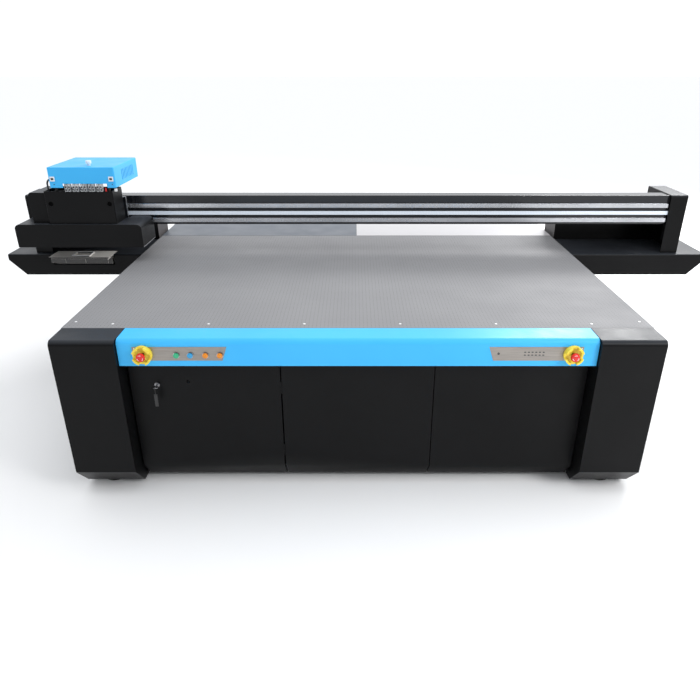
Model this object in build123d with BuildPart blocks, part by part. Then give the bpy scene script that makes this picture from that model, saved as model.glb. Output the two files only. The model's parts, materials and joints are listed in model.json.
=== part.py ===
"""Flatbed UV printer: a base cabinet with a vacuum table, and a gantry that carries a print carriage.

Frame: +X runs along the beam to the right, +Y from the front of the machine to its rear, +Z up.
The origin is on the floor under the middle of the machine.  All sizes are in millimetres.
"""
import os

from build123d import *

os.makedirs("parts", exist_ok=True)

# ---------------------------------------------------------------- driving dimensions
TABLE_HEIGHT = 820          # table surface above the floor
TABLE_HALF_WIDTH = 1350
TABLE_FRONT = -955
TABLE_BACK = 699
MACHINE_HALF_DEPTH = 1135   # emergency stop tips at the front, rear cover at the back
SHEET = 3                   # folded sheet metal
SEAM = 2                    # gap between neighbouring covers

# base frame
TUBE = 80
POST_X = 1230
POST_Y = (-935, 50, 1055)
POST_FOOT = 60
FRAME_TOP = 760

# front of the base
LEG_INNER = 1060
LEG_OUTER = 1345
LEG_FRONT = -1111
STRIP_FRONT = -1090
STRIP_HEIGHT = 126
FOLD_RADIUS = 25
DOOR_FRONT = -1026
DOOR_TOP = 664
DOOR_DEPTH = 18
DOOR_SKIN = 2
DOOR_SPLIT = 353            # the joints between the three front panels
DOOR_BEND = 120
COVER_BOTTOM = 24
LOCK_X = -925
LOCK_Z = 566
HINGE = (-353.25, -1027.5)  # door hinge axis, in the joint beside the middle panel
HINGE_Z = (210, 550)
HINGE_KNUCKLE = 30

# controls on the front strip
CONTROL_Z = 752
PLATE_Z = (721, 787)
PLATE_X = (575, 990)
PLATE_THICK = 1.5
ESTOP_X = 945
BUTTON_X = (-798, -737, -670, -606)
BUTTON_Z = 748

# long travel of the gantry
RAIL_X = 1320               # foot of the rail, on the side beam
RAIL_HEIGHT = 24
Y_RAIL_Z = 716
Y_RAIL = (-930, 985)
Y_SCREW_X = 1322
Y_SCREW_Z = 775
Y_SCREW_RADIUS = 12.5
SIDE_PLATE = (1366, 1390)

# gantry
BEAM_FRONT = 362
BEAM_DEPTH = 100
BEAM_BOTTOM = 980
BEAM_TOP = 1160
BEAM_HALF = 1951
BEAM_WALL = 8
X_RAIL_Z = (1010, 1100)
X_RAIL_DEPTH = 22
WING = (1362, 2230)
WING_FRONT = 300
WING_BACK = 911
WING_Z = (666, 800)
WING_CHAMFER = 98
COLUMN_X = (1955, 2060)
COLUMN_Y = (340, 677)
COLUMN_TOP = 1165
HOUSING_Y = (678, 907)
HOUSING_TOP = 1050
PULLEY_X = 2007
PULLEY_Y = 378
BELT_RADIUS = 27            # centre line of the belt round its pulleys
BELT_THICK = 3
BELT_Z = (1043, 1066)

# carriage, parked over the left wing
CARRIAGE_X = (-1820, -1420)
SADDLE_Y = (293, 311)
HOUSING_FRONT = 97
HOUSING_REAR = 250
SKIRT_X = (-2024, -1275)
SKIRT_Y = (77, 322)
SKIRT_Z = (908, 1045)
SKIRT_NOTCH = 262           # rear face of the skirt behind the print heads
HOUSING_Z = (1045, 1235)
DAMPER_TOP = 1278
COVER_X = (-1767, -1386)
COVER_Y = (77, 487)
COVER_Z = (1259, 1373)
LATCH_X = (-1742, -1407)
LATCH_Z = 1309
KNOB = (-1550, 150)
Z_SCREW = (-1620, 273)
Z_SCREW_RADIUS = 8
FIT = 0.05                  # radial clearance of a running fit
GAP = 0.4                   # clearance beside a sliding face


def save(builder, name):
    """Label a finished piece and write it as one STEP file."""
    builder.part.label = name
    export_step(builder.part, f"parts/{name}.step")


def block(x, y, z, mode=Mode.ADD):
    """Add or cut a box between three pairs of limits."""
    middle = ((x[0] + x[1]) / 2, (y[0] + y[1]) / 2, (z[0] + z[1]) / 2)
    with Locations(middle):
        Box(abs(x[1] - x[0]), abs(y[1] - y[0]), abs(z[1] - z[0]), mode=mode)


def rod(axis, centre, span, radius, mode=Mode.ADD):
    """Add or cut a round bar along an axis, between two stations on it."""
    length = span[1] - span[0]
    middle = (span[0] + span[1]) / 2
    place = {
        "x": Location((middle, centre[0], centre[1]), (0, 90, 0)),
        "y": Location((centre[0], middle, centre[1]), (90, 0, 0)),
        "z": Location((centre[0], centre[1], middle)),
    }[axis]
    with Locations(place):
        Cylinder(radius, length, mode=mode)


def tube_rail(x, y, z, wall=4, along="x"):
    """A square tube: a box with a bore that is open at both ends."""
    block(x, y, z)
    inner = {"x": x, "y": y, "z": z}
    for side in inner:
        if side != along:
            inner[side] = (inner[side][0] + wall, inner[side][1] - wall)
    block(inner["x"], inner["y"], inner["z"], mode=Mode.SUBTRACT)


# ================================================================ base frame
with BuildPart() as base_frame:
    # six posts, and the long rails that run between the end posts
    half = TUBE / 2
    for side in (-1, 1):
        for y in POST_Y:
            x = side * POST_X
            tube_rail((x - half, x + half), (y - half, y + half), (POST_FOOT, FRAME_TOP), along="z")
    for y in (POST_Y[0], POST_Y[2]):
        for top in (FRAME_TOP, 170):
            tube_rail((half - POST_X, POST_X - half), (y - half, y + half), (top - TUBE, top))
    # the rail in the shadow gap above the doors, and the support of the rear covers
    tube_rail((-LEG_INNER, LEG_INNER), (-1040, -1000), (667, 693))
    tube_rail((half - POST_X, POST_X - half), (1035, 1075), (FRAME_TOP, TABLE_HEIGHT - 4))
    # the strike plate that the lock's cam turns behind
    block((-1060, -962), (DOOR_FRONT + 30, DOOR_FRONT + 34), (LOCK_Z - 36, LOCK_Z + 36))
save(base_frame, "base_frame")

with BuildPart() as frame_side_rails:
    # side rails between the posts, cross rails under the table, and the equipment shelf
    for side in (-1, 1):
        x = side * POST_X
        for front, back in zip(POST_Y[:-1], POST_Y[1:]):
            for top in (FRAME_TOP, 170):
                tube_rail((x - half, x + half), (front + half, back - half), (top - TUBE, top), along="y")
        x = side * 420
        for top in (FRAME_TOP, 170):
            ends = (POST_Y[0] + half, POST_Y[2] - half)
            tube_rail((x - half, x + half), ends, (top - TUBE, top), along="y")
    block((-900, 900), (-700, 900), (170, 174))
save(frame_side_rails, "frame_side_rails")

with BuildPart() as y_rail_beams:
    # machined side beams that carry the long rails, with the screw's front and rear bearings
    for side in (-1, 1):
        block((side * 1270, side * RAIL_X), (Y_RAIL[0] - 15, Y_RAIL[1]), (676, 750))
        block((side * 1302, side * 1344), (Y_RAIL[0], Y_RAIL[0] + 30), (750, 798))
        block((side * 1292, side * 1350), (Y_RAIL[1], Y_RAIL[1] + 15), (690, 804))
        ends = (Y_RAIL[0] - 20, Y_RAIL[1] + 20)
        rod("y", (side * Y_SCREW_X, Y_SCREW_Z), ends, Y_SCREW_RADIUS - 4 + FIT, mode=Mode.SUBTRACT)
save(y_rail_beams, "y_rail_beams")

with BuildPart() as y_rails:
    for side in (-1, 1):
        z = (Y_RAIL_Z - RAIL_HEIGHT / 2, Y_RAIL_Z + RAIL_HEIGHT / 2)
        block((side * RAIL_X, side * (RAIL_X + RAIL_HEIGHT)), Y_RAIL, z)
save(y_rails, "y_rails")

for side, name in ((-1, "left_y_screw"), (1, "right_y_screw")):
    with BuildPart() as y_screw:
        # a rolled ball screw with a turned journal at each end
        centre = (side * Y_SCREW_X, Y_SCREW_Z)
        rod("y", centre, (Y_RAIL[0] + 31, Y_RAIL[1] - 1), Y_SCREW_RADIUS)
        rod("y", centre, (Y_RAIL[0] + 2, Y_RAIL[1] + 40), Y_SCREW_RADIUS - 4)
    save(y_screw, name)

with BuildPart() as y_motors:
    for side in (-1, 1):
        x = side * Y_SCREW_X
        y = Y_RAIL[1] + 15
        block((x - 30, x + 30), (y, y + 110), (Y_SCREW_Z - 30, Y_SCREW_Z + 29))
        rod("y", (x, Y_SCREW_Z), (y - 1, y + 30), Y_SCREW_RADIUS - 4 + FIT, mode=Mode.SUBTRACT)
save(y_motors, "y_motors")

with BuildPart() as levelling_feet:
    for side in (-1, 1):
        for y in POST_Y:
            rod("z", (side * POST_X, y), (0, 14), 55)
            rod("z", (side * POST_X, y), (14, POST_FOOT), 12)
            rod("z", (side * POST_X, y), (POST_FOOT - 12, POST_FOOT), 19)
save(levelling_feet, "levelling_feet")

# ---------------------------------------------------------------- what the base holds
with BuildPart() as vacuum_blower:
    # side channel blower on the shelf, with the pipe that rises to the table
    rod("y", (550, 360), (100, 300), 160)
    block((430, 670), (110, 290), (174, 240))
    rod("y", (550, 360), (300, 520), 100)
    rod("z", (600, 200), (360, FRAME_TOP), 38)
save(vacuum_blower, "vacuum_blower")

with BuildPart() as control_cabinet:
    # electrics box behind the door, open at the front, with its drives inside
    block((-960, -480), (-620, -420), (174, 620))
    block((-956, -484), (-640, -424), (178, 616), mode=Mode.SUBTRACT)
    for x in (-900, -790, -680, -570):
        block((x - 40, x + 40), (-580, -424), (300, 520))
save(control_cabinet, "control_cabinet")

# ---------------------------------------------------------------- table
with BuildPart() as table_core:
    # vacuum box: six zones open at the top, each with a suction hole in its floor
    block((-1300, 1300), (TABLE_FRONT, TABLE_BACK), (FRAME_TOP, 806))
    zone_x, zone_y = 840, 790
    for column in (-1, 0, 1):
        for row in (-1, 1):
            x = column * (zone_x + 20)
            y = (TABLE_FRONT + TABLE_BACK) / 2 + row * (zone_y + 20) / 2
            rect = ((x - zone_x / 2, x + zone_x / 2), (y - zone_y / 2, y + zone_y / 2))
            block(*rect, (FRAME_TOP + 6, 807), mode=Mode.SUBTRACT)
            rod("z", (x, y), (FRAME_TOP - 1, FRAME_TOP + 7), 30, mode=Mode.SUBTRACT)
save(table_core, "table_core")

with BuildPart() as table_top:
    # the drilled sheet that the media lies on
    block((-TABLE_HALF_WIDTH, TABLE_HALF_WIDTH), (TABLE_FRONT, TABLE_BACK), (806, TABLE_HEIGHT))
    chamfer(table_top.edges().group_by(Axis.Z)[-1], 1.5)
save(table_top, "table_top")

with BuildPart() as rear_covers:
    # two smooth plates behind the table, each with a turned-down rear edge
    for side in (-1, 1):
        x = (side, side * TABLE_HALF_WIDTH)
        block(x, (TABLE_BACK + SEAM, MACHINE_HALF_DEPTH), (TABLE_HEIGHT - 4, TABLE_HEIGHT))
        block(x, (MACHINE_HALF_DEPTH - 3, MACHINE_HALF_DEPTH), (TABLE_HEIGHT - 34, TABLE_HEIGHT - 4))
save(rear_covers, "rear_covers")

# ---------------------------------------------------------------- base covers
with BuildPart() as leg_covers:
    # tall corner covers: flat front, rounded top fold and an undercut toe, open at the rear
    for side in (-1, 1):
        start = min(side * LEG_INNER, side * LEG_OUTER)
        with BuildSketch(Plane.YZ.offset(start)) as outline:
            with BuildLine():
                Polyline(
                    (TABLE_FRONT - SEAM, TABLE_HEIGHT),
                    (LEG_FRONT, TABLE_HEIGHT),
                    (LEG_FRONT, 137),
                    (LEG_FRONT + 100, COVER_BOTTOM),
                    (TABLE_FRONT - SEAM, COVER_BOTTOM),
                    close=True,
                )
            make_face()
            fillet(outline.vertices().group_by(Axis.X)[0].sort_by(Axis.Y)[-1], FOLD_RADIUS)
        extrude(amount=LEG_OUTER - LEG_INNER)
    for side in (-1, 1):
        start = min(side * LEG_INNER, side * LEG_OUTER) + SHEET
        with BuildSketch(Plane.YZ.offset(start)) as hollow:
            with BuildLine():
                Polyline(
                    (TABLE_FRONT + 9, TABLE_HEIGHT - SHEET),
                    (LEG_FRONT + SHEET, TABLE_HEIGHT - SHEET),
                    (LEG_FRONT + SHEET, 138),
                    (LEG_FRONT + 104, 23),
                    (TABLE_FRONT + 9, 23),
                    close=True,
                )
            make_face()
            fillet(hollow.vertices().group_by(Axis.X)[0].sort_by(Axis.Y)[-1], FOLD_RADIUS - SHEET)
        extrude(amount=LEG_OUTER - LEG_INNER - 2 * SHEET, mode=Mode.SUBTRACT)
        for z in ((88, 172), (678, 762)):
            wall = (side * (LEG_INNER - 1), side * (LEG_INNER + 4))
            block(wall, (POST_Y[0] - half - 2, POST_Y[0]), z, mode=Mode.SUBTRACT)
save(leg_covers, "leg_covers")

with BuildPart() as control_strip:
    # the coloured cover along the front, folded over the table's front edge
    width = LEG_INNER - SHEET
    bottom = TABLE_HEIGHT - STRIP_HEIGHT
    block((-width, width), (STRIP_FRONT, TABLE_FRONT - SEAM), (bottom, TABLE_HEIGHT))
    fold = control_strip.edges().filter_by(Axis.X).group_by(Axis.Y)[0].sort_by(Axis.Z)[-1]
    fillet(fold, FOLD_RADIUS)
    inside = width - SHEET
    rear = TABLE_FRONT + 9
    block((-inside, inside), (STRIP_FRONT + SHEET, rear), (bottom + SHEET, 790), mode=Mode.SUBTRACT)
    block((-inside, inside), (STRIP_FRONT + 26, rear), (789, 817), mode=Mode.SUBTRACT)
    block((-width - 1, width + 1), (STRIP_FRONT + 30, rear), (bottom - 1, FRAME_TOP + 2), mode=Mode.SUBTRACT)
    for x in BUTTON_X:
        rod("y", (x, BUTTON_Z), (STRIP_FRONT - 1, STRIP_FRONT + 9), 11.2, mode=Mode.SUBTRACT)
    for x in (-ESTOP_X, ESTOP_X):
        rod("y", (x, CONTROL_Z), (STRIP_FRONT - 1, STRIP_FRONT + 9), 11.2, mode=Mode.SUBTRACT)
save(control_strip, "control_strip")


def front_panel(x):
    """A pan of folded sheet with a bent, undercut foot: front skin and returned edges."""
    outer = [(0, DOOR_TOP), (0, DOOR_BEND), (65, 30), (65 + DOOR_DEPTH, 30)]
    outer += [(DOOR_DEPTH, DOOR_BEND), (DOOR_DEPTH, DOOR_TOP)]
    inner = [(DOOR_SKIN, DOOR_TOP - 2), (DOOR_SKIN, DOOR_BEND), (65.6, 32), (90, 32)]
    inner += [(25, DOOR_BEND), (25, DOOR_TOP - 2)]
    for outline, inset, mode in ((outer, 0, Mode.ADD), (inner, DOOR_SKIN, Mode.SUBTRACT)):
        with BuildSketch(Plane.YZ.offset(x[0] + inset)) as profile:
            with BuildLine():
                Polyline([(y + DOOR_FRONT, z) for y, z in outline], close=True)
            make_face()
        extrude(profile.sketch, amount=x[1] - x[0] - 2 * inset, mode=mode)


with BuildPart() as front_door:
    front_panel((-1050 + SEAM, -DOOR_SPLIT - 3.5))
    # the lock's seat, a cable grommet's hole, and the door's half of each hinge
    rod("y", (LOCK_X, LOCK_Z), (DOOR_FRONT - 1, DOOR_FRONT + 5), 9.6, mode=Mode.SUBTRACT)
    rod("y", (-780, 582), (DOOR_FRONT - 1, DOOR_FRONT + 5), 8, mode=Mode.SUBTRACT)
    for z in HINGE_Z:
        span = (z + 0.3, z + HINGE_KNUCKLE)
        block((-DOOR_SPLIT - 3.5, HINGE[0]), (HINGE[1] - 2.7, HINGE[1] - 1.2), span)
        block((-DOOR_SPLIT - 5, -DOOR_SPLIT - 3.2), (HINGE[1] - 2.7, DOOR_FRONT + 2), span)
        rod("z", HINGE, span, 2.7)
        rod("z", HINGE, (span[0] - 1, span[1] + 1), 1.5 + FIT, mode=Mode.SUBTRACT)
save(front_door, "front_door")

with BuildPart() as front_panels:
    # middle and right panels, and the fixed half of each door hinge: pin, knuckle and leaf
    front_panel((-350, DOOR_SPLIT - 2))
    front_panel((DOOR_SPLIT + 2, 1050))
    for z in HINGE_Z:
        span = (z - HINGE_KNUCKLE, z)
        rod("z", HINGE, (span[0], z + HINGE_KNUCKLE), 1.5)
        rod("z", HINGE, span, 2.7)
        block((-351.7, -350), (HINGE[1], DOOR_FRONT + 12), span)
save(front_panels, "front_panels")

with BuildPart() as lock_barrel:
    rod("y", (LOCK_X, LOCK_Z), (DOOR_FRONT - 3, DOOR_FRONT), 12)
    rod("y", (LOCK_X, LOCK_Z), (DOOR_FRONT, DOOR_FRONT + 22), 9.5)
    rod("y", (LOCK_X, LOCK_Z), (DOOR_FRONT - 4, DOOR_FRONT + 23), 7 + FIT, mode=Mode.SUBTRACT)
save(lock_barrel, "lock_barrel")

with BuildPart() as lock_key:
    # plug with the cam at its rear, and the key standing in it
    rod("y", (LOCK_X, LOCK_Z), (DOOR_FRONT - 2.5, DOOR_FRONT + 36.5), 7)
    block((LOCK_X - 9, LOCK_X + 9), (DOOR_FRONT + 35, DOOR_FRONT + 38.5), (LOCK_Z - 56, LOCK_Z + 9))
    block((LOCK_X - 4, LOCK_X + 4), (DOOR_FRONT - 14, DOOR_FRONT - 2), (LOCK_Z - 1.2, LOCK_Z + 1.2))
    rod("z", (LOCK_X, DOOR_FRONT - 26), (LOCK_Z - 1.2, LOCK_Z + 1.2), 13)
    rod("z", (LOCK_X, DOOR_FRONT - 33), (LOCK_Z - 2, LOCK_Z + 2), 3, mode=Mode.SUBTRACT)
save(lock_key, "lock_key")

with BuildPart() as base_panels:
    # long side covers below the travelling gear, and the rear cover, all with louvres
    for side in (-1, 1):
        x = (side * (LEG_OUTER - 4), side * LEG_OUTER)
        block(x, (TABLE_FRONT, 1122), (COVER_BOTTOM, 656))
        for z in range(180, 340, 40):
            for y in (-500, 300):
                cut = (side * (LEG_OUTER - 6), side * (LEG_OUTER + 1))
                block(cut, (y, y + 260), (z, z + 12), mode=Mode.SUBTRACT)
    block((-LEG_OUTER + 6, LEG_OUTER - 6), (1124, 1128), (COVER_BOTTOM, TABLE_HEIGHT - 36))
    for x in (-700, 400):
        for z in range(200, 420, 40):
            block((x, x + 300), (1120, 1130), (z, z + 12), mode=Mode.SUBTRACT)
save(base_panels, "base_panels")

# ---------------------------------------------------------------- controls
with BuildPart() as control_plates:
    # brushed plates with one slanted end, drilled for the buttons and emergency stops
    for side in (-1, 1):
        with BuildSketch(Plane.XZ.offset(-STRIP_FRONT)):
            with BuildLine():
                Polyline(
                    (side * PLATE_X[1], PLATE_Z[0]),
                    (side * (PLATE_X[0] + 22), PLATE_Z[0]),
                    (side * PLATE_X[0], PLATE_Z[1]),
                    (side * PLATE_X[1], PLATE_Z[1]),
                    close=True,
                )
            make_face()
        extrude(amount=PLATE_THICK)
    for x in BUTTON_X:
        rod("y", (x, BUTTON_Z), (STRIP_FRONT - 3, STRIP_FRONT + 1), 11.2, mode=Mode.SUBTRACT)
    for x in (-ESTOP_X, ESTOP_X):
        rod("y", (x, CONTROL_Z), (STRIP_FRONT - 3, STRIP_FRONT + 1), 11.2, mode=Mode.SUBTRACT)
save(control_plates, "control_plates")

PLATE_FACE = STRIP_FRONT - PLATE_THICK

with BuildPart() as button_bezels:
    for x in BUTTON_X:
        rod("y", (x, BUTTON_Z), (PLATE_FACE - 4, PLATE_FACE), 14.5)
        rod("y", (x, BUTTON_Z), (PLATE_FACE, STRIP_FRONT + 28), 11)
        rod("y", (x, BUTTON_Z), (PLATE_FACE - 5, STRIP_FRONT + 24), 10.3, mode=Mode.SUBTRACT)
save(button_bezels, "button_bezels")

BUTTON_NAMES = ("green_button", "blue_button", "left_orange_button", "right_orange_button")
for x, name in zip(BUTTON_X, BUTTON_NAMES):
    with BuildPart() as button:
        rod("y", (x, BUTTON_Z), (PLATE_FACE - 7, STRIP_FRONT + 14), 10.2)
        fillet(button.edges().group_by(Axis.Y)[0], 1.5)
    save(button, name)

with BuildPart() as estop_guards:
    # collars round the emergency stops, each with four finger notches
    for x in (-ESTOP_X, ESTOP_X):
        rod("y", (x, CONTROL_Z), (PLATE_FACE - 30, PLATE_FACE), 43)
        rod("y", (x, CONTROL_Z), (PLATE_FACE - 31, PLATE_FACE - 4), 33, mode=Mode.SUBTRACT)
        block((x - 13, x + 13), (PLATE_FACE - 31, PLATE_FACE - 12), (690, 820), mode=Mode.SUBTRACT)
        z = (CONTROL_Z - 13, CONTROL_Z + 13)
        block((x - 50, x + 50), (PLATE_FACE - 31, PLATE_FACE - 12), z, mode=Mode.SUBTRACT)
        rod("y", (x, CONTROL_Z), (PLATE_FACE, STRIP_FRONT + 30), 11)
        rod("y", (x, CONTROL_Z), (PLATE_FACE - 31, STRIP_FRONT + 31), 8 + FIT, mode=Mode.SUBTRACT)
save(estop_guards, "estop_guards")

ESTOP_TIP = -MACHINE_HALF_DEPTH
for x, side in ((-ESTOP_X, "left"), (ESTOP_X, "right")):
    with BuildPart() as stem:
        # the sliding stem, round which the mushroom head turns
        rod("y", (x, CONTROL_Z), (ESTOP_TIP + 16, STRIP_FRONT + 22), 8)
        rod("y", (x, CONTROL_Z), (ESTOP_TIP + 8, ESTOP_TIP + 17), 5)
    save(stem, f"{side}_estop_stem")
    with BuildPart() as mushroom:
        rod("y", (x, CONTROL_Z), (ESTOP_TIP, ESTOP_TIP + 15.7), 20)
        fillet(mushroom.edges().group_by(Axis.Y)[0], 6)
        rod("y", (x, CONTROL_Z), (ESTOP_TIP + 15.7 - 8.5, ESTOP_TIP + 17), 5 + FIT, mode=Mode.SUBTRACT)
        block((x - 14, x + 14), (ESTOP_TIP - 1, ESTOP_TIP + 1.2), (CONTROL_Z - 2, CONTROL_Z + 2),
              mode=Mode.SUBTRACT)
    save(mushroom, f"{side}_estop_head")

# ================================================================ gantry
with BuildPart() as gantry_beam:
    block((-BEAM_HALF, BEAM_HALF), (BEAM_FRONT, BEAM_FRONT + BEAM_DEPTH), (BEAM_BOTTOM, BEAM_TOP))
    fillet(gantry_beam.edges().filter_by(Axis.X), 4)
    inner_y = (BEAM_FRONT + BEAM_WALL, BEAM_FRONT + BEAM_DEPTH - BEAM_WALL)
    inner_z = (BEAM_BOTTOM + BEAM_WALL, BEAM_TOP - BEAM_WALL)
    block((-BEAM_HALF - 1, BEAM_HALF + 1), inner_y, inner_z, mode=Mode.SUBTRACT)
save(gantry_beam, "gantry_beam")

with BuildPart() as x_rails:
    for z in X_RAIL_Z:
        block((6 - BEAM_HALF, BEAM_HALF - 6), (BEAM_FRONT - X_RAIL_DEPTH, BEAM_FRONT), (z - 12, z + 12))
        for edge_z in (z - 12, z + 12):
            block((-BEAM_HALF, BEAM_HALF), (BEAM_FRONT - 11, BEAM_FRONT - 6), (edge_z - 3, edge_z + 3),
                  mode=Mode.SUBTRACT)
save(x_rails, "x_rails")

with BuildPart() as drive_belt:
    with BuildSketch(Plane.XY.offset(BELT_Z[0])):
        with Locations((0, PULLEY_Y)):
            SlotCenterToCenter(2 * PULLEY_X, 2 * BELT_RADIUS + BELT_THICK)
            SlotCenterToCenter(2 * PULLEY_X, 2 * BELT_RADIUS - BELT_THICK, mode=Mode.SUBTRACT)
    extrude(amount=BELT_Z[1] - BELT_Z[0])
save(drive_belt, "drive_belt")

for side, name in ((-1, "idler_pulley"), (1, "drive_pulley")):
    with BuildPart() as pulley:
        centre = (side * PULLEY_X, PULLEY_Y)
        rod("z", centre, (BELT_Z[0] - 0.5, BELT_Z[1] + 0.5), BELT_RADIUS - BELT_THICK / 2 - 0.3)
        rod("z", centre, (BELT_Z[0] - 3, BELT_Z[0] - 0.5), 30)
        rod("z", centre, (BELT_Z[1] + 0.5, BELT_Z[1] + 3), 30)
        if side < 0:
            rod("z", centre, (1000, 1100), 6 + FIT, mode=Mode.SUBTRACT)
        else:
            rod("z", centre, (950, 1060), 8)
    save(pulley, name)

with BuildPart() as beam_brackets:
    # end plates with the belt's slot and a shelf for each pulley, and the arms to the side frames
    for side in (-1, 1):
        end = (side * BEAM_HALF, side * (BEAM_HALF + 8))
        block(end, (BEAM_FRONT, BEAM_FRONT + BEAM_DEPTH), (BEAM_BOTTOM, BEAM_TOP))
        block((side * 1940, side * 1970), (396, 414), (1034, 1075), mode=Mode.SUBTRACT)
        block((end[1], side * 2045), (349, 430), (988, 996))
        if side < 0:
            rod("z", (-PULLEY_X, PULLEY_Y), (996, 1078), 6)
        else:
            rod("z", (PULLEY_X, PULLEY_Y), (987, 997), 8 + FIT, mode=Mode.SUBTRACT)
    for side in (-1, 1):
        x = (side * 1420, side * 1900)
        block(x, (462, 474), (985, 1150))
        block(x, (474, 666), (1026, 1046))
        block(x, (666, 678), (985, 1046))
        for web in (1440, 1660, 1880):
            block((side * (web - 6), side * (web + 6)), (474, 666), (985, 1026))
save(beam_brackets, "beam_brackets")

with BuildPart() as x_motor:
    block((PULLEY_X - 34, PULLEY_X + 34), (PULLEY_Y - 34, PULLEY_Y + 34), (870, 988))
    fillet(x_motor.edges().filter_by(Axis.Z), 5)
    rod("z", (PULLEY_X, PULLEY_Y), (945, 989), 8 + FIT, mode=Mode.SUBTRACT)
save(x_motor, "x_motor")

with BuildPart() as gantry_covers:
    # tall box covers over the pulleys, rounded along their top edges
    for side in (-1, 1):
        x = (side * COLUMN_X[0], side * COLUMN_X[1])
        block(x, COLUMN_Y, (WING_Z[1], COLUMN_TOP))
    fillet(gantry_covers.edges().filter_by(Axis.X).group_by(Axis.Z)[-1], 14)
    for side in (-1, 1):
        inside = (side * (COLUMN_X[0] + SHEET), side * (COLUMN_X[1] - SHEET))
        y = (COLUMN_Y[0] + SHEET, COLUMN_Y[1] - SHEET)
        block(inside, y, (WING_Z[1] - 1, COLUMN_TOP - 14), mode=Mode.SUBTRACT)
        # the inner face is cut away round the beam and below it
        window = (side * (COLUMN_X[0] - 1), side * (COLUMN_X[0] + SHEET + 1))
        block(window, (345, 466), (978, 1151), mode=Mode.SUBTRACT)
        block((window[0], side * 1962), (345, 466), (978, 1162), mode=Mode.SUBTRACT)
        block(window, y, (WING_Z[1] - 1, 979), mode=Mode.SUBTRACT)
    # and the covers over the ink tanks and the electronics, behind the beam
    for side in (-1, 1):
        x = (side * SIDE_PLATE[1], side * COLUMN_X[0])
        back = (HOUSING_Y[0] + 20, HOUSING_Y[1])
        block(x, back, (WING_Z[1], HOUSING_TOP))
        inside = (x[0] - side, x[1] - side * SHEET)
        block(inside, (back[0] - 1, back[1] - SHEET), (WING_Z[1] - 1, HOUSING_TOP - SHEET),
              mode=Mode.SUBTRACT)
save(gantry_covers, "gantry_covers")

for side, name in ((-1, "left_wing"), (1, "right_wing")):
    with BuildPart() as wing:
        # box of folded sheet round the travelling gear, open towards the base
        for inset, mode in ((0, Mode.ADD), (SHEET, Mode.SUBTRACT)):
            low, high = WING_Z[0] + inset, WING_Z[1] - inset
            outer = WING[1] - inset
            inner = WING[0] if inset == 0 else WING[0] - 1
            bevel = WING_CHAMFER - 0.6 * inset
            with BuildSketch(Plane.XZ.offset(-WING_FRONT - inset)):
                with BuildLine():
                    Polyline(
                        (side * inner, low),
                        (side * (outer - bevel), low),
                        (side * outer, low + bevel),
                        (side * outer, high),
                        (side * inner, high),
                        close=True,
                    )
                make_face()
            extrude(amount=-(WING_BACK - WING_FRONT - 2 * inset), mode=mode)
            if inset == 0:
                top_edges = wing.edges().group_by(Axis.Z)[-1]
                fillet(top_edges.filter_by(Axis.X).sort_by(Axis.Y)[0], 3 * SHEET)
        slot = (side * (SIDE_PLATE[0] - 1), side * (SIDE_PLATE[1] + 1))
        block(slot, (HOUSING_Y[0] - 1, HOUSING_Y[1] + 1), (790, 801), mode=Mode.SUBTRACT)
        if side < 0:
            block((-1945, -1554), (WING_FRONT - 1, 391), (732, 801), mode=Mode.SUBTRACT)
    save(wing, name)

with BuildPart() as gantry_frames:
    # each side: the plate on the bearing blocks, the upright behind the beam, the arm in the wing
    for side in (-1, 1):
        plate = (side * SIDE_PLATE[0], side * SIDE_PLATE[1])
        block(plate, (WING_FRONT + 4, WING_BACK - 4), (670, 796))
        block(plate, HOUSING_Y, (796, HOUSING_TOP))
        block((plate[1], side * COLUMN_X[0]), (HOUSING_Y[0], HOUSING_Y[0] + 20), (WING_Z[1], HOUSING_TOP))
        block((plate[1], side * 2090), (560, 640), (676, 796))
save(gantry_frames, "gantry_frames")

with BuildPart() as y_bearing_blocks:
    # two blocks round each long rail, and the ball nut on its bracket between them
    for side in (-1, 1):
        for y in (370, 790):
            block((side * (RAIL_X + 6), side * SIDE_PLATE[0]), (y - 55, y + 55), (686, 746))
            z = (Y_RAIL_Z - RAIL_HEIGHT / 2 - GAP, Y_RAIL_Z + RAIL_HEIGHT / 2 + GAP)
            channel = (side * (RAIL_X + 5), side * (RAIL_X + RAIL_HEIGHT + GAP))
            block(channel, (y - 56, y + 56), z, mode=Mode.SUBTRACT)
        rod("y", (side * Y_SCREW_X, Y_SCREW_Z), (560, 620), 20)
        block((side * 1336, side * SIDE_PLATE[0]), (575, 605), (758, 792))
        rod("y", (side * Y_SCREW_X, Y_SCREW_Z), (550, 630), Y_SCREW_RADIUS + FIT, mode=Mode.SUBTRACT)
save(y_bearing_blocks, "y_bearing_blocks")

with BuildPart() as capping_tray:
    # stainless tray that stands out under the print heads, with a stepped front flange
    block((-1942, -1557), (240, 385), (796, 799))
    block((-1804, -1689), (252, 345), (799, 804))
    block((-1794, -1699), (260, 337), (798, 805), mode=Mode.SUBTRACT)
    block((-1930, -1570), (306, 378), (736, 796))
    block((-1930, -1570), (243, 306), (782, 796))
    for x in ((-1930, -1838), (-1824, -1712), (-1698, -1570)):
        block(x, (240, 243), (762, 788))
save(capping_tray, "capping_tray")

with BuildPart() as ink_tanks:
    for column in range(5):
        x = -1900 + 100 * column
        block((x, x + 84), (730, 880), (803, 990))
        fillet(ink_tanks.edges().filter_by(Axis.Z).sort_by(Axis.X)[-4:], 8)
        rod("z", (x + 42, 790), (990, 1012), 22)
save(ink_tanks, "ink_tanks")

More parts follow.
